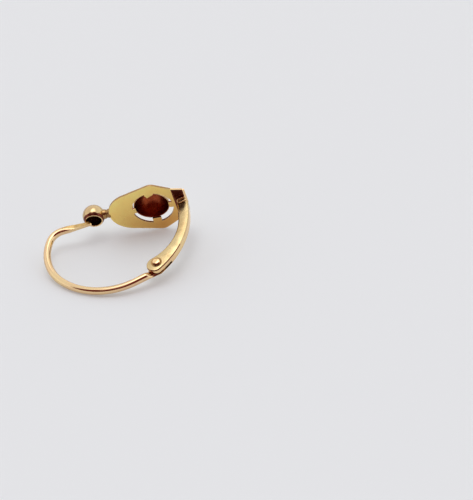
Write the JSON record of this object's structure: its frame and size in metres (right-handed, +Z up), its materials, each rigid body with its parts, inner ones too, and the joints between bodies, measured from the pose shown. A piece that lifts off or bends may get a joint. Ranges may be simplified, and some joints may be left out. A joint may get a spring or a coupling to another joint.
{
  "type": "leverback earring",
  "caption": "Gold sleeper leverback earring lying on its side: bent front plate with a hollow half ball, catch ball, curved arm and a hinged ear wire that snaps shut behind the lobe.",
  "frame": {"origin": "bottom centre of the box round the lying earring, on the surface it rests on", "axes": "+Z up from the surface; +X down the front plate from the catch ball to the plate's end; -Y from the plate towards the ear wire"},
  "size_m": [0.0179, 0.0141, 0.0082],
  "materials": {
    "polished_gold": "polished, satin on the back of the plate",
    "boss_gold": "polished",
    "rivet_gold": "polished",
    "wire_gold": "polished"
  },
  "bodies": {
    "front": {"front_plate": "polished_gold", "centre_boss": "boss_gold", "hinge_rivet": "rivet_gold"},
    "wire": {"ear_wire": "wire_gold"}
  },
  "joints": [
    {"name": "ear_wire_hinge", "type": "hinge", "parent": "front", "child": "wire", "pos_m": [0.00487, -0.00419, 0.00201], "axis": [-0.1253, -0.2318, 0.9647], "range_deg": [0, 75]}
  ]
}
